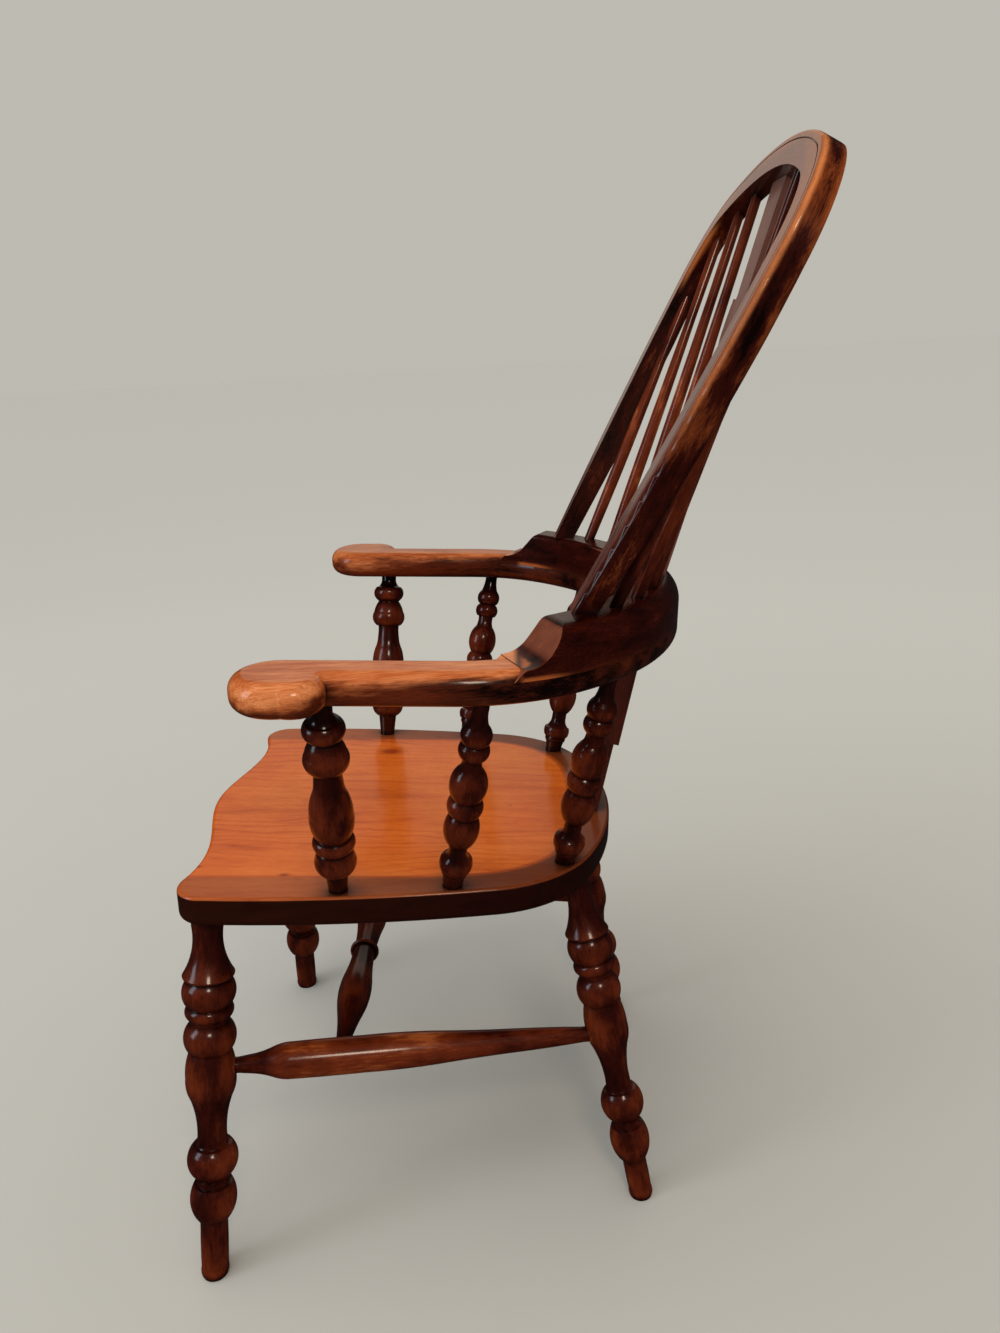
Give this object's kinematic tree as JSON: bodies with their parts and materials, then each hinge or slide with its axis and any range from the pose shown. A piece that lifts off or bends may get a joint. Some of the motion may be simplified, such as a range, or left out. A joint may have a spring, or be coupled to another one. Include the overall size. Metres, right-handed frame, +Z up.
{
  "type": "wheelback chair",
  "caption": "High-backed Windsor armchair: saddled plank seat on turned legs, sawn arms on turned posts, leaning hoop with spindles and a pierced wheel splat.",
  "frame": {"origin": "on the floor under the centre of the whole chair's box", "axes": "+Z up, the sitter faces -Y, +X is the sitter's left"},
  "size_m": [0.6462, 0.709, 1.1486],
  "materials": {
    "seat_elm": "glossy",
    "arm_wood": "glossy",
    "rail_wood": "glossy",
    "hoop_wood": "glossy",
    "splat_wood": "satin",
    "spindle_wood": "glossy",
    "turned_wood": "glossy"
  },
  "bodies": {
    "root": {"seat": "seat_elm", "leg_front_left": "turned_wood", "leg_front_right": "turned_wood", "leg_rear_left": "turned_wood", "leg_rear_right": "turned_wood", "side_stretcher_left": "turned_wood", "side_stretcher_right": "turned_wood", "cross_stretcher": "turned_wood", "arm_post_front_left": "turned_wood", "arm_post_front_right": "turned_wood", "arm_post_middle_left": "turned_wood", "arm_post_middle_right": "turned_wood", "arm_post_rear_left": "turned_wood", "arm_post_rear_right": "turned_wood", "arm_left": "arm_wood", "arm_right": "arm_wood", "back_rail": "rail_wood", "hoop": "hoop_wood", "splat_upper": "splat_wood", "splat_lower": "splat_wood", "spindle_left_1": "spindle_wood", "spindle_left_2": "spindle_wood", "spindle_left_3": "spindle_wood", "spindle_left_4": "spindle_wood", "spindle_right_1": "spindle_wood", "spindle_right_2": "spindle_wood", "spindle_right_3": "spindle_wood", "spindle_right_4": "spindle_wood"}
  },
  "joints": []
}
